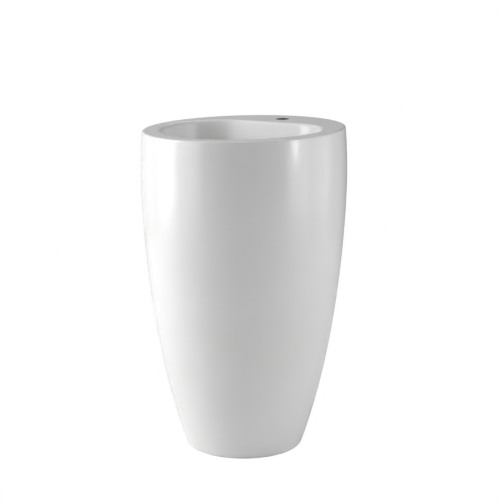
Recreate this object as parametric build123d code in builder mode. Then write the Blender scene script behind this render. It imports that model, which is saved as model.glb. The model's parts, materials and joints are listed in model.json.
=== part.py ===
from build123d import *

import os
from math import cos, radians, sin, tan

# One-piece ceramic pedestal basin with its waste, bottle trap and floor fixings.
# Millimetres. The origin is the centre of the foot on the floor, +Z is up, +Y points to the wall
# and the user stands on the -Y side.

# ---- Ceramic body: outer form ----
basin_height = 850.0  # floor to the highest point of the rim, before its edge is rounded
body_radius = 265.0  # at the widest point
belly_drop = 130.0  # from the top of the rim down to the widest point
foot_radius = 150.8  # where the flank would meet the floor, before the foot edge is rounded
flare_height = 319.0  # how far up the flare of the flank reaches
belly_ease = 9.0  # how gently the flank turns upright at the widest point
rim_radius = 257.7  # flank radius just above the rim
rim_slope = 2.5  # degrees, the rim falls from the wall to the user
rim_clear = 10.0  # how far the raw outline stands above the rim before it is cut
foot_edge = 15.0
rim_edge = 5.0

# ---- Ceramic body: walls ----
shell_wall = 12.0
ledge_thickness = 14.0
foot_ring_inner = 122.0
foot_ring_height = 14.0

# ---- Bowl ----
rim_width = 38.0
bowl_back = 119.0  # from the body's axis to the bowl's straight back edge
bowl_corner = 130.0
bowl_draft = 10.0  # degrees
bowl_lip = 10.0
bowl_depth = 152.0  # from the top of the rim down to the lowest point of the floor
dish_radius = 600.0
floor_fillet = 45.0

# ---- Tap ledge ----
tap_hole_radius = 17.5
tap_hole_from_axis = 185.0
tap_hole_edge = 1.0

# ---- Rear access opening ----
access_width = 200.0
access_bottom = 190.0
access_headroom = 46.5  # above the axis of the waste outlet
access_corner = 60.0

# ---- Waste seat in the ceramic ----
waste_from_axis = -45.0
waste_hole_gap = 2.05  # round the tail
waste_seat_gap = 1.5  # round the flange
waste_seat_depth = 4.0
waste_boss_width = 11.0  # outside the lower gasket
waste_boss_height = 14.0  # from the underside of the boss up to the seat

# ---- Clearances ----
thread_gap = 0.15  # between a male thread's crest and the bore around it
slide_gap = 0.4  # between a pipe and the fitting it slides into
running_gap = 0.1
seat_gap = 0.05

# ---- Waste fitting, 1 1/4 inch ----
tail_radius = 20.95
tail_length = 70.0  # from the underside of the flange to the end of the tail
tail_wall = 2.95
flange_overhang = 11.55  # outside the tail
flange_thickness = 3.0
flange_flat_width = 5.5  # outside the dished plug seat
dish_ease = 1.0  # level ring between the bore and the dish
dish_depth = 3.5
flange_gasket_thickness = 1.5
thread_pitch = 2.309
thread_depth = 1.2
waste_thread_top = 8.0  # plain length below the flange
waste_thread_end = 4.0  # plain length above the end of the tail
gasket_width = 12.7
lower_gasket_thickness = 3.5
slip_washer_thickness = 1.5
backnut_height = 12.0
backnut_wall = 6.0

# ---- Click plug ----
plug_lift = 9.0
plug_overlap = 7.0  # outside the tail's bore
plug_edge_height = 1.8
plug_crown = 2.5
plug_edge_fillet = 0.6
plug_boss_wall = 3.0
plug_boss_length = 8.2
seal_overlap = 1.5  # outside the tail's bore
seal_width = 3.0
seal_thickness = 1.6
plug_rise = 0.3  # underside of the plug below the top of the flange when it is shut
stem_radius = 3.0
stem_engagement = 6.0
collar_width = 1.9  # outside the stem
collar_height = 3.0
cartridge_gap = 0.3  # between the collar and the housing's bore
housing_wall = 1.3
housing_length = 28.0
housing_floor = 2.0
housing_top = 2.0
neck_radius = 5.0
neck_thread = 5.0  # below the bridge
bridge_drop = 39.5  # underside of the flange down to the top of the bridge
bridge_height = 6.0
bridge_rib = 3.0
bridge_hub_wall = 2.5
rotor_bore = 1.6
rotor_height = 4.0
rotor_teeth = 6
rotor_tooth = 0.9
spring_inset = 0.6  # between the coil and the housing's bore
spring_wire = 0.4
spring_turns = 5
cartridge_nut_height = 4.0
cartridge_nut_wall = 1.5

# ---- Trap, 32 mm pipe ----
pipe_radius = 16.0
pipe_wall = 1.8
spigot_wall = 4.55  # from the pipe's sliding bore to the thread's crest
spigot_length = 30.0  # outside the bottle
slip_nut_wall = 4.4
slip_nut_skirt = 13.5
slip_nut_lip = 3.0
slip_nut_ribs = 16
slip_rib_radius = 1.6
cone_depth = 3.0
cone_width = 3.2  # of the washer's thick end
washer_brim = 1.0
inlet_washer_thickness = 3.0
inlet_flange_thickness = 3.0
inlet_nut_grip = 18.0  # length of the inlet nut's thread on the tail
bottle_channel = 12.5  # between the dip tube and the bottle's wall
bottle_wall = 2.5
bottle_neck = 14.0
bottle_shoulder = 10.0
bottle_height = 77.0  # from the lower rim of the trap body to the top of its shoulder
trap_thread_inset = 1.0
trap_thread_length = 19.0
trap_thread_pitch = 4.0
trap_thread_depth = 1.2
trap_collar_height = 3.0
cup_gap = 0.35
cup_wall = 3.65
cup_grip_height = 17.0
cup_room = 26.0  # under the dip tube
cup_fillet = 10.0
cup_ribs = 20
cup_seal_thickness = 2.0
inlet_to_neck = 16.0  # gap from the trap inlet flange down to the neck of the trap body
water_seal = 75.0
outlet_drop = 26.0  # from the top of the bottle's shoulder down to the outlet's axis
pipe_overlap = 26.0  # pipe inside the outlet spigot
pipe_end = 258.0  # from the body's axis to the pipe's open end
pipe_bead_gap = 1.5  # from the outlet nut
pipe_bead_width = 3.0
pipe_bead_height = 1.0

# ---- Floor fixings ----
fixing_angle = 30.0  # degrees either side of the back
fixing_height = 45.0
fixing_recess_depth = 5.0
fixing_recess_gap = 0.8  # round the cap
sleeve_wall = 1.8
sleeve_hole_gap = 0.3
sleeve_collar_width = 3.6
sleeve_collar_height = 1.5
screw_radius = 3.0
screw_head_width = 2.5  # outside the shank
screw_head_height = 3.0
screw_slot_width = 1.2
screw_slot_depth = 1.4
screw_past_bush = 6.0
cap_wall = 1.2
cap_headroom = 0.5  # over the screw's head
cap_edge = 1.0
bracket_reach = 115.0  # from the body's axis to the outside of the upright leg
bracket_leg = 42.0
bracket_upright = 62.0
bracket_width = 40.0
bracket_thickness = 3.0
bracket_bend = 4.0
bracket_corner = 6.0
bracket_hole_radius = 4.25
bracket_hole_from_bend = 24.0
bush_wall = 2.9
bush_flange_width = 3.0
bush_flange_height = 2.0
bush_length = 12.0

# ---- Levels and places worked out from the sizes above ----
belly_height = basin_height - belly_drop
rim_centre_height = basin_height - body_radius * tan(radians(rim_slope))
bowl_radius = rim_radius - rim_width
bowl_floor = basin_height - bowl_depth
tail_bore = tail_radius - tail_wall
flange_radius = tail_radius + flange_overhang
waste_hole_radius = tail_radius + waste_hole_gap
waste_seat_radius = flange_radius + waste_seat_gap
waste_boss_radius = tail_radius + gasket_width + waste_boss_width
waste_seat = bowl_floor - waste_seat_depth
waste_underside = waste_seat - waste_boss_height
flange_underside = waste_seat + flange_gasket_thickness
flange_top = flange_underside + flange_thickness
tail_end = flange_underside - tail_length
lower_gasket_bottom = waste_underside - lower_gasket_thickness
slip_washer_bottom = lower_gasket_bottom - slip_washer_thickness
backnut_bottom = slip_washer_bottom - backnut_height
backnut_radius = tail_radius + backnut_wall
plug_radius = tail_bore + plug_overlap
seal_inner = tail_bore + seal_overlap
seal_outer = seal_inner + seal_width
collar_radius = stem_radius + collar_width
housing_bore = collar_radius + cartridge_gap
housing_radius = housing_bore + housing_wall
bridge_hub = neck_radius + bridge_hub_wall
spring_radius = housing_bore - spring_inset - spring_wire
bridge_top = flange_underside - bridge_drop
bridge_bottom = bridge_top - bridge_height
housing_roof = bridge_top + housing_length
cavity_floor = bridge_top + housing_floor
cavity_roof = housing_roof - housing_top
collar_top = cavity_roof - plug_lift - running_gap
collar_bottom = collar_top - collar_height
rotor_top = collar_bottom - running_gap
rotor_bottom = rotor_top - rotor_height
plug_underside = flange_top - plug_rise
plug_edge_top = plug_underside + plug_edge_height
boss_bottom = plug_underside - plug_boss_length
stem_top = boss_bottom + stem_engagement
slide_bore = pipe_radius + slide_gap
spigot_radius = slide_bore + spigot_wall
slip_nut_radius = spigot_radius + slip_nut_wall
inlet_nut_radius = tail_radius + slip_nut_wall
cone_radius = pipe_radius + cone_width
washer_radius = spigot_radius - thread_gap
inlet_washer_radius = tail_radius - thread_gap
inlet_flange_top = tail_end - inlet_washer_thickness
inlet_flange_bottom = inlet_flange_top - inlet_flange_thickness
neck_top = inlet_flange_bottom - inlet_to_neck
shoulder_top = neck_top - bottle_neck
bottle_rim = shoulder_top - bottle_height
outlet_height = shoulder_top - outlet_drop
access_top = outlet_height + access_headroom
outlet_invert = outlet_height - (pipe_radius - pipe_wall)
dip_tube_end = outlet_invert - water_seal
bottle_radius = pipe_radius + bottle_channel + bottle_wall
trap_thread_radius = bottle_radius - trap_thread_inset
cup_bore = trap_thread_radius + cup_gap
cup_radius = cup_bore + cup_wall
trap_collar_bottom = bottle_rim + trap_thread_length
cup_top = trap_collar_bottom - cup_seal_thickness
cup_base = dip_tube_end - cup_room - bottle_wall
outlet_mouth = waste_from_axis + bottle_radius + spigot_length
pipe_bead_start = washer_brim + slip_nut_lip + pipe_bead_gap  # from the spigot's mouth
flare_slope = (body_radius - foot_radius) / flare_height
fixing_seat = foot_radius + fixing_height * flare_slope - fixing_recess_depth
sleeve_radius = screw_radius + running_gap + sleeve_wall
sleeve_collar = sleeve_radius + sleeve_collar_width
screw_head_radius = screw_radius + screw_head_width
bush_radius = screw_radius + running_gap + bush_wall
bush_flange = bush_radius + bush_flange_width
cap_bore = sleeve_collar + seat_gap
cap_radius = cap_bore + cap_wall
cap_inside = sleeve_collar_height + screw_head_height + cap_headroom
fixing_recess_radius = cap_radius + fixing_recess_gap

# ---- Planes and axes ----
rim_plane = Plane(
    origin=(0, 0, rim_centre_height),
    x_dir=(1, 0, 0),
    z_dir=(0, -sin(radians(rim_slope)), cos(radians(rim_slope))),
)
waste_axis = Axis((0, waste_from_axis, 0), (0, 0, 1))
waste_section = Plane(origin=(0, waste_from_axis, 0), x_dir=(1, 0, 0), z_dir=(0, -1, 0))


def waste_level(height):
    """A horizontal plane centred on the waste's axis."""
    return Plane(origin=(0, waste_from_axis, height))


def fixing_plane(side, reach):
    """A plane across one floor fixing's screw: its normal points out of the body."""
    angle = radians(fixing_angle)
    outward = Vector(side * sin(angle), cos(angle), 0)
    along = Vector(0, 0, 1).cross(outward)
    return Plane(origin=outward * reach + Vector(0, 0, fixing_height), x_dir=along, z_dir=outward)


def disc(plane, radius, height, mode=Mode.ADD):
    """Adds or cuts a round disc that stands on the plane."""
    with BuildSketch(plane) as outline:
        Circle(radius)
    extrude(outline.sketch, amount=height, mode=mode)


def ring(plane, inner, outer, height, mode=Mode.ADD):
    """Adds or cuts a flat ring that stands on the plane."""
    with BuildSketch(plane) as outline:
        Circle(outer)
        Circle(inner, mode=Mode.SUBTRACT)
    extrude(outline.sketch, amount=height, mode=mode)


def turned(section, axis, points, mode=Mode.ADD):
    """Adds or cuts a turned form: the points are its section, as radius and height."""
    with BuildSketch(section) as outline:
        with BuildLine():
            Polyline(*points, close=True)
        make_face()
    revolve(outline.sketch, axis=axis, mode=mode)


def thread_grooves(section, axis, radius, bottom, top, pitch, depth):
    """Cuts the grooves of a thread, as rings one pitch apart."""
    half = 0.4 * pitch
    for turn in range(int((top - bottom) / pitch)):
        middle = bottom + (turn + 0.5) * pitch
        points = (
            (radius + depth, middle - 2 * half),
            (radius - depth, middle),
            (radius + depth, middle + 2 * half),
        )
        turned(section, axis, points, mode=Mode.SUBTRACT)


def flank(inset):
    """The body as a full turn about its axis, its flank moved in by the inset."""
    top = basin_height + rim_clear
    with BuildPart() as form:
        with BuildSketch(Plane.XZ):
            with BuildLine():
                base = Line((0, 0), (foot_radius - inset, 0))
                lower = Bezier(
                    base @ 1,
                    (body_radius - inset, flare_height),
                    (body_radius - inset, belly_height - belly_ease),
                    (body_radius - inset, belly_height),
                )
                upper = TangentArc(lower @ 1, (rim_radius - inset, top), tangent=(0, 1))
                Polyline(upper @ 1, (0, top), (0, 0))
            make_face()
        revolve(axis=Axis.Z)
    return form.part


def bowl(growth):
    """The hollow of the bowl, grown outwards: with no growth it is the hollow itself."""
    top = basin_height + rim_clear
    dish_middle = (0, waste_from_axis, bowl_floor + dish_radius)
    with BuildPart() as form:
        with BuildSketch(Plane.XY.offset(top)):
            Circle(bowl_radius)
            with Locations((0, bowl_back - bowl_radius)):
                Rectangle(2 * bowl_radius, 2 * bowl_radius, mode=Mode.INTERSECT)
            fillet(vertices(), bowl_corner)
            if growth > 0:
                offset(amount=growth)
        extrude(amount=-(bowl_depth + rim_clear + 2 * growth), taper=bowl_draft)
        with Locations(dish_middle):
            Sphere(dish_radius + growth, mode=Mode.INTERSECT)
        dish = faces().filter_by(GeomType.SPHERE).sort_by(Axis.Z)[0]
        fillet(dish.edges(), floor_fillet + growth)
    return form.part


outer_form = flank(0)
inner_form = flank(shell_wall)
bowl_hollow = bowl(0)
bowl_underside = bowl(shell_wall)

# ---- The space inside the pedestal, round the bowl and under the tap ledge ----
with BuildPart() as column_hollow:
    add(inner_form)
    split(bisect_by=rim_plane.offset(-ledge_thickness), keep=Keep.BOTTOM)
    add(bowl_underside, mode=Mode.SUBTRACT)
    disc(waste_level(waste_underside), waste_boss_radius, waste_boss_height, mode=Mode.SUBTRACT)
    ring(Plane.XY, foot_ring_inner, body_radius, foot_ring_height, mode=Mode.SUBTRACT)

with BuildPart() as ceramic_body:
    add(outer_form)
    fillet(edges().sort_by(Axis.Z)[0], foot_edge)
    split(bisect_by=rim_plane, keep=Keep.BOTTOM)
    fillet(faces().sort_by(Axis.Z)[-1].edges(), rim_edge)
    add(bowl_hollow, mode=Mode.SUBTRACT)
    rim_face = faces().sort_by(Axis.Z)[-1]
    fillet(rim_face.inner_wires().edges(), bowl_lip)
    add(column_hollow.part, mode=Mode.SUBTRACT)

    # waste hole and the seat for its flange
    disc(waste_level(waste_seat), waste_seat_radius, bowl_depth, mode=Mode.SUBTRACT)
    disc(waste_level(waste_underside), waste_hole_radius, waste_boss_height, mode=Mode.SUBTRACT)

    # tap hole, square to the ledge
    tap_plane = rim_plane.offset(-2 * ledge_thickness)
    with BuildSketch(tap_plane):
        with Locations((0, tap_hole_from_axis)):
            Circle(tap_hole_radius)
    extrude(amount=3 * ledge_thickness, mode=Mode.SUBTRACT)
    tap_mouth = rim_plane.from_local_coords((0, tap_hole_from_axis, 0))
    fillet(edges().filter_by(GeomType.CIRCLE).sort_by_distance(tap_mouth)[0], tap_hole_edge)

    # rear access opening
    with BuildSketch(Plane.XZ.offset(-body_radius - rim_clear)):
        with Locations((0, (access_bottom + access_top) / 2)):
            RectangleRounded(access_width, access_top - access_bottom, access_corner)
    extrude(amount=body_radius / 2, mode=Mode.SUBTRACT)

    # side holes for the floor fixings, each with a recess for its cap
    for side in (-1, 1):
        disc(fixing_plane(side, fixing_seat), fixing_recess_radius, body_radius, mode=Mode.SUBTRACT)
        disc(
            fixing_plane(side, foot_ring_inner),
            sleeve_radius + sleeve_hole_gap,
            body_radius,
            mode=Mode.SUBTRACT,
        )

# ---- Waste fitting ----
with BuildPart() as waste_body:
    turned(
        waste_section,
        waste_axis,
        (
            (tail_bore, tail_end),
            (tail_radius, tail_end),
            (tail_radius, flange_underside),
            (flange_radius, flange_underside),
            (flange_radius, flange_top),
            (flange_radius - flange_flat_width, flange_top),
            (tail_bore + dish_ease, flange_top - dish_depth),
            (tail_bore, flange_top - dish_depth),
        ),
    )
    thread_grooves(
        waste_section,
        waste_axis,
        tail_radius,
        tail_end + waste_thread_end,
        flange_underside - waste_thread_top,
        thread_pitch,
        thread_depth,
    )
    # bridge across the bore: a hub on three ribs that carries the click cartridge
    with BuildSketch(waste_level(bridge_bottom)):
        Circle(bridge_hub)
        with PolarLocations(0, 3):
            with Locations((tail_bore / 2, 0)):
                Rectangle(tail_bore + thread_depth, bridge_rib)
        Circle(neck_radius + seat_gap, mode=Mode.SUBTRACT)
    extrude(amount=bridge_height)

with BuildPart() as flange_gasket:
    ring(waste_level(waste_seat), tail_radius + thread_gap, flange_radius, flange_gasket_thickness)

with BuildPart() as lower_gasket:
    ring(
        waste_level(lower_gasket_bottom),
        tail_radius + thread_gap,
        tail_radius + gasket_width,
        lower_gasket_thickness,
    )
    fillet(edges().group_by(Axis.Z)[0].sort_by(SortBy.LENGTH)[-1], lower_gasket_thickness / 3)

with BuildPart() as slip_washer:
    ring(
        waste_level(slip_washer_bottom),
        tail_radius + thread_gap,
        tail_radius + gasket_width,
        slip_washer_thickness,
    )

with BuildPart() as waste_backnut:
    with BuildSketch(waste_level(backnut_bottom)):
        RegularPolygon(backnut_radius, 6, major_radius=False)
        Circle(tail_radius + thread_gap, mode=Mode.SUBTRACT)
    extrude(amount=backnut_height)

# ---- Click plug and its cartridge ----
with BuildPart() as plug_cap:
    crown = (0, plug_edge_top + plug_crown)
    with BuildSketch(waste_section):
        with BuildLine():
            under = Line((0, plug_underside), (plug_radius, plug_underside))
            edge = Line(under @ 1, (plug_radius, plug_edge_top))
            TangentArc(crown, edge @ 1, tangent=(1, 0))
            Line(crown, (0, plug_underside))
        make_face()
    revolve(axis=waste_axis)
    fillet(edges().filter_by_position(Axis.Z, plug_edge_top, plug_edge_top), plug_edge_fillet)
    disc(waste_level(boss_bottom), stem_radius + plug_boss_wall, plug_boss_length)
    disc(
        waste_level(boss_bottom),
        stem_radius + seat_gap,
        stem_engagement + seat_gap,
        mode=Mode.SUBTRACT,
    )

with BuildPart() as plug_seal:
    ring(waste_level(plug_underside - seal_thickness), seal_inner, seal_outer, seal_thickness)

with BuildPart() as plug_stem:
    disc(waste_level(collar_bottom), collar_radius, collar_height)
    disc(waste_level(collar_top), stem_radius, stem_top - collar_top)
    chamfer(edges().group_by(Axis.Z)[-1], stem_radius / 5)

with BuildPart() as cartridge_housing:
    disc(waste_level(bridge_top), housing_radius, housing_length)
    disc(waste_level(bridge_bottom - neck_thread), neck_radius, bridge_height + neck_thread)
    disc(waste_level(cavity_floor), housing_bore, cavity_roof - cavity_floor, mode=Mode.SUBTRACT)
    disc(waste_level(cavity_roof), stem_radius + running_gap, housing_top, mode=Mode.SUBTRACT)

with BuildPart() as cartridge_nut:
    with BuildSketch(waste_level(bridge_bottom - cartridge_nut_height)):
        RegularPolygon(neck_radius + cartridge_nut_wall, 6, major_radius=False)
        Circle(neck_radius + seat_gap, mode=Mode.SUBTRACT)
    extrude(amount=cartridge_nut_height)

with BuildPart() as cartridge_rotor:
    ring(waste_level(rotor_bottom), rotor_bore, collar_radius, rotor_height)
    with BuildSketch(waste_level(rotor_top - rotor_tooth)):
        with PolarLocations((rotor_bore + collar_radius) / 2, rotor_teeth):
            Rectangle(collar_radius, rotor_tooth)
    extrude(amount=rotor_tooth, mode=Mode.SUBTRACT)

with BuildPart() as cartridge_spring:
    spring_length = rotor_bottom - cavity_floor - 2 * spring_wire - 2 * running_gap
    spring_foot = waste_level(cavity_floor + spring_wire + running_gap)
    coil = Helix(
        pitch=spring_length / spring_turns,
        height=spring_length,
        radius=spring_radius,
    ).moved(spring_foot.location)
    with BuildSketch(Plane(origin=coil @ 0, z_dir=coil % 0)) as wire_section:
        Circle(spring_wire)
    sweep(wire_section.sketch, path=coil, is_frenet=True)

# ---- Bottle trap ----


def slip_nut(mouth):
    """Adds a ribbed compression nut over a spigot whose mouth lies on the plane."""
    skirt = mouth.offset(-slip_nut_skirt)
    height = slip_nut_skirt + washer_brim + slip_nut_lip
    disc(skirt, slip_nut_radius, height)
    with BuildSketch(skirt) as ribs:
        with PolarLocations(slip_nut_radius, slip_nut_ribs):
            Circle(slip_rib_radius)
    extrude(ribs.sketch, amount=height - slip_nut_lip)
    disc(skirt, spigot_radius + thread_gap, slip_nut_skirt + washer_brim, mode=Mode.SUBTRACT)
    disc(mouth, slide_bore, height, mode=Mode.SUBTRACT)


def cone_washer(section, axis, mouth):
    """Adds the rubber cone washer that sits in a spigot's mouth, at that height on the section."""
    points = (
        (pipe_radius + seat_gap, mouth - cone_depth),
        (cone_radius, mouth),
        (washer_radius, mouth),
        (washer_radius, mouth + washer_brim),
        (pipe_radius + seat_gap, mouth + washer_brim),
    )
    turned(section, axis, points)


outlet_mouth_plane = Plane(origin=(0, outlet_mouth, outlet_height), x_dir=(1, 0, 0), z_dir=(0, 1, 0))
outlet_axis = Axis((0, 0, outlet_height), (0, 1, 0))
outlet_section = Plane(origin=(0, 0, outlet_height), x_dir=(1, 0, 0), z_dir=(0, 0, 1))
inlet_nut_height = inlet_nut_grip + inlet_washer_thickness + inlet_flange_thickness + slip_nut_lip

with BuildPart() as trap_inlet_nut:
    nut_level = waste_level(inlet_flange_bottom - slip_nut_lip)
    disc(nut_level, inlet_nut_radius, inlet_nut_height)
    with BuildSketch(nut_level):
        with PolarLocations(inlet_nut_radius, slip_nut_ribs):
            Circle(slip_rib_radius)
    extrude(amount=inlet_nut_height - slip_nut_lip)
    disc(
        waste_level(inlet_flange_bottom),
        tail_radius + thread_gap,
        inlet_nut_height,
        mode=Mode.SUBTRACT,
    )
    disc(nut_level, slide_bore, inlet_nut_height, mode=Mode.SUBTRACT)

with BuildPart() as trap_inlet_washer:
    ring(waste_level(inlet_flange_top), pipe_radius, inlet_washer_radius, inlet_washer_thickness)

with BuildPart() as dip_tube:
    disc(waste_level(inlet_flange_bottom), inlet_washer_radius, inlet_flange_thickness)
    disc(waste_level(dip_tube_end), pipe_radius, inlet_flange_bottom - dip_tube_end)
    disc(
        waste_level(dip_tube_end),
        pipe_radius - pipe_wall,
        inlet_flange_top - dip_tube_end,
        mode=Mode.SUBTRACT,
    )

with BuildPart() as dip_tube_nut:
    slip_nut(waste_level(neck_top))

with BuildPart() as dip_tube_washer:
    cone_washer(waste_section, waste_axis, neck_top)

with BuildPart() as trap_body:
    turned(
        waste_section,
        waste_axis,
        (
            (0, bottle_rim),
            (trap_thread_radius, bottle_rim),
            (trap_thread_radius, trap_collar_bottom),
            (cup_radius, trap_collar_bottom),
            (cup_radius, trap_collar_bottom + trap_collar_height),
            (bottle_radius, trap_collar_bottom + trap_collar_height),
            (bottle_radius, shoulder_top - bottle_shoulder),
            (spigot_radius, shoulder_top),
            (spigot_radius, neck_top),
            (0, neck_top),
        ),
    )
    spigot_reach = bottle_radius + spigot_length
    disc(outlet_mouth_plane.offset(-spigot_reach), spigot_radius, spigot_reach)
    turned(
        waste_section,
        waste_axis,
        (
            (0, bottle_rim),
            (trap_thread_radius - bottle_wall, bottle_rim),
            (trap_thread_radius - bottle_wall, trap_collar_bottom),
            (bottle_radius - bottle_wall, trap_collar_bottom + trap_collar_height),
            (bottle_radius - bottle_wall, shoulder_top - bottle_shoulder - bottle_wall),
            (slide_bore, shoulder_top - bottle_wall),
            (slide_bore, neck_top - cone_depth),
            (cone_radius, neck_top),
            (0, neck_top),
        ),
        mode=Mode.SUBTRACT,
    )
    turned(
        outlet_section,
        outlet_axis,
        (
            (0, waste_from_axis),
            (slide_bore, waste_from_axis),
            (slide_bore, outlet_mouth - cone_depth),
            (cone_radius, outlet_mouth),
            (0, outlet_mouth),
        ),
        mode=Mode.SUBTRACT,
    )
    thread_grooves(
        waste_section,
        waste_axis,
        trap_thread_radius,
        bottle_rim,
        trap_collar_bottom,
        trap_thread_pitch,
        trap_thread_depth,
    )

with BuildPart() as trap_cup:
    sump = cup_base + bottle_wall
    thread_foot = bottle_rim - slide_gap
    with BuildSketch(waste_section):
        with BuildLine():
            Polyline(
                (0, cup_base),
                (bottle_radius, cup_base),
                (bottle_radius, cup_top - cup_grip_height),
                (cup_radius, cup_top - cup_grip_height),
                (cup_radius, cup_top),
                (cup_bore, cup_top),
                (cup_bore, thread_foot),
                (bottle_radius - bottle_wall, thread_foot),
                (bottle_radius - bottle_wall, sump),
                (0, sump),
                close=True,
            )
        make_face()
        fillet(vertices().sort_by_distance((bottle_radius, cup_base))[0], cup_fillet)
        fillet(
            vertices().sort_by_distance((bottle_radius - bottle_wall, sump))[0],
            cup_fillet - bottle_wall,
        )
    revolve(axis=waste_axis)
    with BuildSketch(waste_level(cup_top - cup_grip_height)):
        with PolarLocations(cup_radius, cup_ribs):
            Circle(slip_rib_radius)
    extrude(amount=cup_grip_height)

with BuildPart() as trap_cup_seal:
    ring(waste_level(cup_top), cup_bore, cup_radius, cup_seal_thickness)

with BuildPart() as trap_outlet_nut:
    slip_nut(outlet_mouth_plane)

with BuildPart() as trap_outlet_washer:
    cone_washer(outlet_section, outlet_axis, outlet_mouth)

with BuildPart() as outlet_pipe:
    ring(
        outlet_mouth_plane.offset(-pipe_overlap),
        pipe_radius - pipe_wall,
        pipe_radius,
        pipe_end - outlet_mouth + pipe_overlap,
    )
    # bead that stops the nut and shows how deep the pipe is pushed in
    ring(
        outlet_mouth_plane.offset(pipe_bead_start),
        pipe_radius - pipe_wall,
        pipe_radius + pipe_bead_height,
        pipe_bead_width,
    )
    bead_rims = edges().filter_by(GeomType.CIRCLE).sort_by(SortBy.RADIUS)[-2:]
    fillet(bead_rims, pipe_bead_height / 2)

# ---- Floor fixings: an angle bracket, bush, sleeve, screw and cap on each side of the back ----


def bracket(side):
    """An angle bracket that stands on the floor inside the foot, its upright leg facing the wall."""
    outside = fixing_plane(side, 0)
    section = Plane(origin=(0, 0, 0), x_dir=outside.z_dir, z_dir=-outside.x_dir)
    with BuildPart() as angle:
        with BuildSketch(section):
            with BuildLine():
                Polyline(
                    (bracket_reach - bracket_leg, 0),
                    (bracket_reach, 0),
                    (bracket_reach, bracket_upright),
                    (bracket_reach - bracket_thickness, bracket_upright),
                    (bracket_reach - bracket_thickness, bracket_thickness),
                    (bracket_reach - bracket_leg, bracket_thickness),
                    close=True,
                )
            make_face()
        extrude(amount=bracket_width / 2, both=True)
        bends = edges().filter_by(lambda e: abs(e.length - bracket_width) < 1e-3)
        outer_bend = bends.sort_by_distance(section.from_local_coords((bracket_reach, 0, 0)))[0]
        inner_bend = bends.sort_by_distance(
            section.from_local_coords((bracket_reach - bracket_thickness, bracket_thickness, 0))
        )[0]
        fillet(outer_bend, bracket_bend)
        fillet(inner_bend, bracket_bend - bracket_thickness)
        corners = edges().filter_by(lambda e: abs(e.length - bracket_thickness) < 1e-3)
        fillet(corners, bracket_corner)
        hole = section.from_local_coords((bracket_reach - bracket_hole_from_bend, 0, 0))
        disc(Plane(hole), bracket_hole_radius, bracket_upright, mode=Mode.SUBTRACT)
        disc(
            fixing_plane(side, bracket_reach - bracket_leg),
            bush_radius + seat_gap,
            bracket_leg,
            mode=Mode.SUBTRACT,
        )
    return angle.part


left_form = bracket(-1)
right_form = bracket(1)

with BuildPart() as floor_bracket_left:
    add(left_form)

with BuildPart() as floor_bracket_right:
    add(right_form)

with BuildPart() as bracket_bushes:
    for side in (-1, 1):
        disc(fixing_plane(side, bracket_reach), bush_flange, bush_flange_height)
        disc(fixing_plane(side, bracket_reach - bush_length), bush_radius, bush_length)
        disc(
            fixing_plane(side, bracket_reach - bush_length),
            screw_radius + running_gap,
            2 * bush_length,
            mode=Mode.SUBTRACT,
        )

with BuildPart() as screw_sleeves:
    for side in (-1, 1):
        seat = fixing_plane(side, fixing_seat)
        disc(seat, sleeve_collar, sleeve_collar_height)
        disc(seat.offset(-shell_wall), sleeve_radius, shell_wall)
        disc(
            seat.offset(-shell_wall),
            screw_radius + running_gap,
            2 * shell_wall,
            mode=Mode.SUBTRACT,
        )

with BuildPart() as body_fixing_screws:
    for side in (-1, 1):
        head = fixing_plane(side, fixing_seat + sleeve_collar_height)
        tip_reach = bracket_reach - bush_length - screw_past_bush
        shank_length = fixing_seat + sleeve_collar_height - tip_reach
        disc(head, screw_head_radius, screw_head_height)
        disc(head.offset(-shank_length), screw_radius, shank_length)
        with BuildSketch(head.offset(screw_head_height - screw_slot_depth)) as slot:
            Rectangle(2 * screw_head_radius, screw_slot_width)
            Rectangle(screw_slot_width, 2 * screw_head_radius)
        extrude(slot.sketch, amount=screw_slot_depth, mode=Mode.SUBTRACT)

with BuildPart() as screw_cover_caps:
    for side in (-1, 1):
        cap_foot = fixing_plane(side, fixing_seat)
        cap_top = cap_foot.offset(cap_inside + cap_wall)
        disc(cap_foot, cap_radius, cap_inside + cap_wall)
        rims = edges().filter_by(GeomType.CIRCLE)
        fillet(rims.sort_by_distance(cap_top.origin)[0], cap_edge)
        disc(cap_foot, cap_bore, cap_inside, mode=Mode.SUBTRACT)

pieces = {
    "ceramic_body": ceramic_body,
    "waste_body": waste_body,
    "flange_gasket": flange_gasket,
    "lower_gasket": lower_gasket,
    "slip_washer": slip_washer,
    "waste_backnut": waste_backnut,
    "plug_cap": plug_cap,
    "plug_seal": plug_seal,
    "plug_stem": plug_stem,
    "cartridge_housing": cartridge_housing,
    "cartridge_nut": cartridge_nut,
    "cartridge_rotor": cartridge_rotor,
    "cartridge_spring": cartridge_spring,
    "trap_inlet_nut": trap_inlet_nut,
    "trap_inlet_washer": trap_inlet_washer,
    "dip_tube": dip_tube,
    "dip_tube_nut": dip_tube_nut,
    "dip_tube_washer": dip_tube_washer,
    "trap_body": trap_body,
    "trap_cup": trap_cup,
    "trap_cup_seal": trap_cup_seal,
    "trap_outlet_nut": trap_outlet_nut,
    "trap_outlet_washer": trap_outlet_washer,
    "outlet_pipe": outlet_pipe,
    "floor_bracket_left": floor_bracket_left,
    "floor_bracket_right": floor_bracket_right,
    "bracket_bushes": bracket_bushes,
    "screw_sleeves": screw_sleeves,
    "body_fixing_screws": body_fixing_screws,
    "screw_cover_caps": screw_cover_caps,
}

os.makedirs("parts", exist_ok=True)
for name, piece in pieces.items():
    piece.part.label = name
    export_step(piece.part, f"parts/{name}.step")
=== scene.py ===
import json
import math

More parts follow.
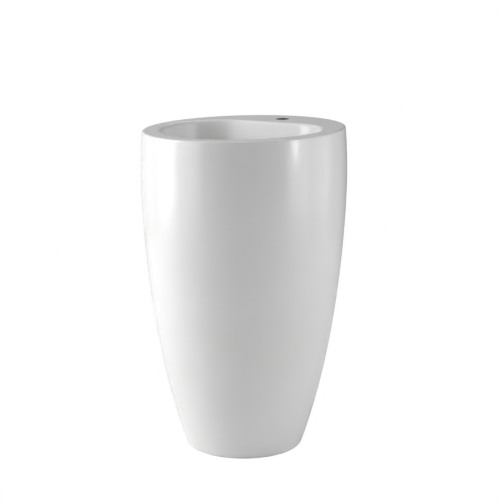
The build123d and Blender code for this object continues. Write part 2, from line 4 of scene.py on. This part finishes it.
import bpy
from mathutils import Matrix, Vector

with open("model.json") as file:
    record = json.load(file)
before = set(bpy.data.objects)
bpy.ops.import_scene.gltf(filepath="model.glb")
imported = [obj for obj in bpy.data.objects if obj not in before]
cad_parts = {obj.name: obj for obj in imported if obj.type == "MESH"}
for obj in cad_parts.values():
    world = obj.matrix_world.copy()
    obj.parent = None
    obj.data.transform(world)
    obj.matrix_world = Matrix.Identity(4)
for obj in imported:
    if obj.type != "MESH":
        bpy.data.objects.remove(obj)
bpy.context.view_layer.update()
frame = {"nodes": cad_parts, "record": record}

scene = bpy.context.scene
scene.view_settings.view_transform = "Standard"

# ---- Camera: the photograph's viewing angle ----
CAMERA_AZIMUTH = math.radians(34.0)
CAMERA_DISTANCE = 3.265
CAMERA_HEIGHT = 1.147
CAMERA_PITCH = math.radians(10.89)
CAMERA_PAN = math.radians(-0.27)
CAMERA_LENS = 91.9
CAMERA_REACH = 50

# ---- Studio values ----
FLOOR_SIZE = 60
WORLD_LIGHT = 0.012  # strength of the surround that lights the object
WORLD_SHOWN = 1.0  # strength of the surround that the camera sees

# ---- Painted shade in the tap hole: its near-black colour, and its margin and fade in metres past the end of its wall ----
TAP_HOLE_SHADE_MARGIN = 0.0004
TAP_HOLE_SHADE_FADE = 0.0005
TAP_HOLE_PAINTED_SHADE = (0.012, 0.012, 0.012, 1)


def make_camera():
    data = bpy.data.cameras.new("camera")
    data.lens = CAMERA_LENS
    data.clip_end = CAMERA_REACH
    camera = bpy.data.objects.new("camera", data)
    camera.location = (
        CAMERA_DISTANCE * math.sin(CAMERA_AZIMUTH),
        -CAMERA_DISTANCE * math.cos(CAMERA_AZIMUTH),
        CAMERA_HEIGHT,
    )
    camera.rotation_euler = (math.pi / 2 - CAMERA_PITCH, 0, CAMERA_AZIMUTH + CAMERA_PAN)
    scene.collection.objects.link(camera)
    scene.camera = camera


# ---- Node helpers ----
def new_material(name):
    """A material with an empty Principled shader. Returns the material, its tree and the shader."""
    material = bpy.data.materials.new(name)
    material.use_nodes = True
    tree = material.node_tree
    return material, tree, tree.nodes["Principled BSDF"]


def noise(tree, scale, detail=2.0, stretch=(1, 1, 1)):
    """A noise texture in object space, its scale per metre. Returns its grey value."""
    place = tree.nodes.new("ShaderNodeTexCoord")
    mapping = tree.nodes.new("ShaderNodeMapping")
    mapping.inputs["Scale"].default_value = stretch
    texture = tree.nodes.new("ShaderNodeTexNoise")
    texture.inputs["Scale"].default_value = scale
    texture.inputs["Detail"].default_value = detail
    tree.links.new(place.outputs["Object"], mapping.inputs["Vector"])
    tree.links.new(mapping.outputs["Vector"], texture.inputs["Vector"])
    return texture.outputs["Fac"]


def as_colour(value):
    return (*value, 1) if isinstance(value, tuple) else (value, value, value, 1)


def ramp(tree, source, low, high, start=0.3, end=0.7):
    """A ramp between two colours or two grey values. Returns its colour."""
    node = tree.nodes.new("ShaderNodeValToRGB")
    for stop, position, value in zip(node.color_ramp.elements, (start, end), (low, high)):
        stop.position = position
        stop.color = as_colour(value)
    tree.links.new(source, node.inputs["Fac"])
    return node.outputs["Color"]


def vary(tree, shader, socket, source, low, high, start=0.3, end=0.7):
    """Drives a socket of the shader by a ramp between two colours or two grey values."""
    tree.links.new(ramp(tree, source, low, high, start, end), shader.inputs[socket])


def bump(tree, shader, source, distance):
    """Bump from a grey value, its full height in metres. Chains onto any bump already there."""
    node = tree.nodes.new("ShaderNodeBump")
    node.inputs["Distance"].default_value = distance
    tree.links.new(source, node.inputs["Height"])
    if shader.inputs["Normal"].links:
        tree.links.new(shader.inputs["Normal"].links[0].from_socket, node.inputs["Normal"])
    tree.links.new(node.outputs["Normal"], shader.inputs["Normal"])


def painted_shade_in_tap_hole(tree):
    """Mask for the painted shade: one on the wall of the tap hole and zero elsewhere, from the
    distance to its middle.
    """
    mount = next(m for m in frame["record"]["mounts"] if m["name"] == "tap_hole")
    radius, length = mount["dims"]["r_mm"] / 1000, mount["dims"]["length_mm"] / 1000
    reach = math.hypot(radius, length / 2)
    place = tree.nodes.new("ShaderNodeTexCoord")
    offset = tree.nodes.new("ShaderNodeVectorMath")
    offset.operation = "SUBTRACT"
    offset.inputs[1].default_value = mount["pos_m"]
    away = tree.nodes.new("ShaderNodeVectorMath")
    away.operation = "LENGTH"
    wall = tree.nodes.new("ShaderNodeMapRange")
    wall.inputs["From Min"].default_value = reach + TAP_HOLE_SHADE_MARGIN
    wall.inputs["From Max"].default_value = reach + TAP_HOLE_SHADE_MARGIN + TAP_HOLE_SHADE_FADE
    wall.inputs["To Min"].default_value = 1.0
    wall.inputs["To Max"].default_value = 0.0
    tree.links.new(place.outputs["Object"], offset.inputs[0])
    tree.links.new(offset.outputs["Vector"], away.inputs[0])
    tree.links.new(away.outputs["Value"], wall.inputs["Value"])
    return wall.outputs["Result"]


# ---- Materials ----
def glaze_material():
    """Vitreous china: a white body under a clear gloss glaze that lies a little unevenly, with
    painted shade, near black, on the wall of the tap hole.
    """
    material, tree, shader = new_material("ceramic_glaze")
    cloud = noise(tree, 5.0, detail=3.0)
    colour = ramp(tree, cloud, (0.80, 0.80, 0.795), (0.83, 0.83, 0.828))
    # Painted shade: the glaze colour is mixed to near black on the wall of the tap hole.
    mix = tree.nodes.new("ShaderNodeMix")
    mix.data_type = "RGBA"
    mix.inputs["B"].default_value = TAP_HOLE_PAINTED_SHADE
    tree.links.new(painted_shade_in_tap_hole(tree), mix.inputs["Factor"])
    tree.links.new(colour, mix.inputs["A"])
    tree.links.new(mix.outputs["Result"], shader.inputs["Base Color"])
    shader.inputs["Roughness"].default_value = 0.2
    shader.inputs["IOR"].default_value = 1.52
    shader.inputs["Specular IOR Level"].default_value = 0.5
    bump(tree, shader, noise(tree, 9.0, detail=1.0), 0.0006)
    bump(tree, shader, noise(tree, 130.0, detail=2.0), 0.00002)
    return material


def chrome_material():
    material, tree, shader = new_material("chrome_plate")
    shader.inputs["Metallic"].default_value = 1.0
    smear = noise(tree, 60.0, detail=4.0)
    vary(tree, shader, "Base Color", smear, (0.80, 0.81, 0.83), (0.86, 0.87, 0.88))
    vary(tree, shader, "Roughness", smear, 0.04, 0.11)
    bump(tree, shader, noise(tree, 240.0), 0.00001)
    return material


def brass_material():
    material, tree, shader = new_material("brass")
    shader.inputs["Metallic"].default_value = 1.0
    stain = noise(tree, 90.0, detail=5.0)
    vary(tree, shader, "Base Color", stain, (0.55, 0.38, 0.15), (0.80, 0.62, 0.31))
    lines = noise(tree, 60.0, detail=6.0, stretch=(1, 1, 60))
    vary(tree, shader, "Roughness", lines, 0.22, 0.42)
    bump(tree, shader, lines, 0.00003)
    return material


def rubber_material():
    material, tree, shader = new_material("black_rubber")
    bloom = noise(tree, 150.0, detail=5.0)
    vary(tree, shader, "Base Color", bloom, (0.018, 0.018, 0.018), (0.05, 0.05, 0.052))
    vary(tree, shader, "Roughness", bloom, 0.62, 0.82)
    bump(tree, shader, noise(tree, 900.0, detail=3.0), 0.00004)
    return material


def plastic_material():
    material, tree, shader = new_material("white_plastic")
    flow = noise(tree, 22.0, detail=3.0)
    vary(tree, shader, "Base Color", flow, (0.70, 0.70, 0.685), (0.76, 0.76, 0.745))
    grain = noise(tree, 1200.0, detail=3.0)
    vary(tree, shader, "Roughness", grain, 0.32, 0.48)
    shader.inputs["Subsurface Weight"].default_value = 0.08
    shader.inputs["Subsurface Radius"].default_value = (0.004, 0.004, 0.003)
    bump(tree, shader, grain, 0.00003)
    return material


def nylon_material():
    material, tree, shader = new_material("nylon")
    flow = noise(tree, 120.0, detail=3.0)
    vary(tree, shader, "Base Color", flow, (0.60, 0.56, 0.45), (0.70, 0.66, 0.55))
    vary(tree, shader, "Roughness", flow, 0.35, 0.5)
    shader.inputs["Subsurface Weight"].default_value = 0.15
    shader.inputs["Subsurface Radius"].default_value = (0.003, 0.003, 0.002)
    bump(tree, shader, noise(tree, 1500.0), 0.00002)
    return material


def zinc_material():
    material, tree, shader = new_material("zinc_steel")
    shader.inputs["Metallic"].default_value = 1.0
    cells = tree.nodes.new("ShaderNodeTexVoronoi")
    cells.inputs["Scale"].default_value = 160.0
    place = tree.nodes.new("ShaderNodeTexCoord")
    tree.links.new(place.outputs["Object"], cells.inputs["Vector"])
    depth = cells.outputs["Distance"]
    vary(tree, shader, "Base Color", depth, (0.50, 0.51, 0.53), (0.64, 0.65, 0.66), 0.0, 0.8)
    vary(tree, shader, "Roughness", depth, 0.26, 0.4, 0.0, 0.8)
    bump(tree, shader, noise(tree, 400.0, detail=4.0), 0.00003)
    return material


MATERIALS = {
    "ceramic_glaze": glaze_material,
    "chrome_plate": chrome_material,
    "brass": brass_material,
    "black_rubber": rubber_material,
    "white_plastic": plastic_material,
    "nylon": nylon_material,
    "zinc_steel": zinc_material,
}


def dress_nodes():
    """Gives each CAD node the material of its slot in the record."""
    made = {slot: make() for slot, make in MATERIALS.items()}
    for part in frame["record"]["subparts"]:
        for slot in frame["nodes"][part["node"]].material_slots:
            slot.material = made[part["material_slot"]]


# ---- Studio ----
def make_floor():
    """A pale floor that looks burnt out to white, and throws back only its own diffuse light."""
    bpy.ops.mesh.primitive_plane_add(size=FLOOR_SIZE, location=(0, 0, 0))
    floor = bpy.context.object
    floor.name = "floor"
    material, tree, shader = new_material("floor")
    shader.inputs["Base Color"].default_value = (0.9, 0.9, 0.9, 1)
    shader.inputs["Roughness"].default_value = 0.8
    shader.inputs["Specular IOR Level"].default_value = 0.1
    white = tree.nodes.new("ShaderNodeEmission")
    white.inputs["Strength"].default_value = 1.0
    path = tree.nodes.new("ShaderNodeLightPath")
    mix = tree.nodes.new("ShaderNodeMixShader")
    tree.links.new(path.outputs["Is Camera Ray"], mix.inputs["Fac"])
    tree.links.new(shader.outputs["BSDF"], mix.inputs[1])
    tree.links.new(white.outputs["Emission"], mix.inputs[2])
    tree.links.new(mix.outputs["Shader"], tree.nodes["Material Output"].inputs["Surface"])
    floor.data.materials.append(material)


def make_world(strength, shown):
    """A white surround: one strength lights the object, the other is what the camera sees."""
    world = bpy.data.worlds.new("studio")
    scene.world = world
    world.use_nodes = True
    tree = world.node_tree
    dim = tree.nodes["Background"]
    dim.inputs["Strength"].default_value = strength
    white = tree.nodes.new("ShaderNodeBackground")
    white.inputs["Strength"].default_value = shown
    path = tree.nodes.new("ShaderNodeLightPath")
    mix = tree.nodes.new("ShaderNodeMixShader")
    for node in (dim, white):
        node.inputs["Color"].default_value = (1, 1, 1, 1)
    tree.links.new(path.outputs["Is Camera Ray"], mix.inputs["Fac"])
    tree.links.new(dim.outputs["Background"], mix.inputs[1])
    tree.links.new(white.outputs["Background"], mix.inputs[2])
    tree.links.new(mix.outputs["Shader"], tree.nodes["World Output"].inputs["Surface"])


def softbox(name, azimuth, distance, height, width, tall, power, aim_height):
    """A large area light, its azimuth counted from the camera's side of the object."""
    data = bpy.data.lights.new(name, "AREA")
    data.shape = "RECTANGLE"
    data.size = width
    data.size_y = tall
    data.energy = power
    lamp = bpy.data.objects.new(name, data)
    angle = CAMERA_AZIMUTH + math.radians(azimuth)
    lamp.location = (distance * math.sin(angle), -distance * math.cos(angle), height)
    aim = Vector((0, 0, aim_height))
    lamp.rotation_euler = (aim - lamp.location).to_track_quat("-Z", "Y").to_euler()
    scene.collection.objects.link(lamp)


# Name, azimuth from the camera in degrees, then distance, height, width and tall in metres,
# power in watts, and the height aimed at in metres.
LIGHTS = (
    ("left_side", -90, 2.7, 1.4, 1.3, 2.7, 53.8, 1.4),
    ("left_front", -60, 2.7, 1.4, 1.3, 2.7, 21.4, 1.4),
    ("left_back", -120, 2.7, 1.4, 1.3, 2.7, 6.1, 1.4),
    ("back_left", -150, 2.7, 1.4, 1.3, 2.7, 5.0, 1.4),
    ("back", 180, 2.7, 1.4, 1.3, 2.7, 3.4, 1.4),
    ("right_front", 60, 2.7, 1.4, 1.3, 2.7, 27.4, 1.4),
    ("right_side", 90, 2.7, 1.4, 1.3, 2.7, 14.8, 1.4),
    ("high_left", -90, 1.9, 2.6, 1.3, 1.3, 14.2, 0.8),
    ("high_back_left", -135, 1.9, 2.6, 1.3, 1.3, 4.7, 0.8),
    ("high_back", 180, 1.9, 2.6, 1.3, 1.3, 7.3, 0.8),
    ("high_right", 45, 1.9, 2.6, 1.3, 1.3, 6.0, 0.8),
    ("top", 0, 0.001, 2.9, 1.6, 1.6, 4.1, 0.5),
    ("sparkle", 55, 2.44, 0.84, 0.2, 0.2, 2.4, 0.8),
)

make_camera()
make_floor()
make_world(WORLD_LIGHT, WORLD_SHOWN)
for name, *light in LIGHTS:
    softbox(name, *light)
dress_nodes()
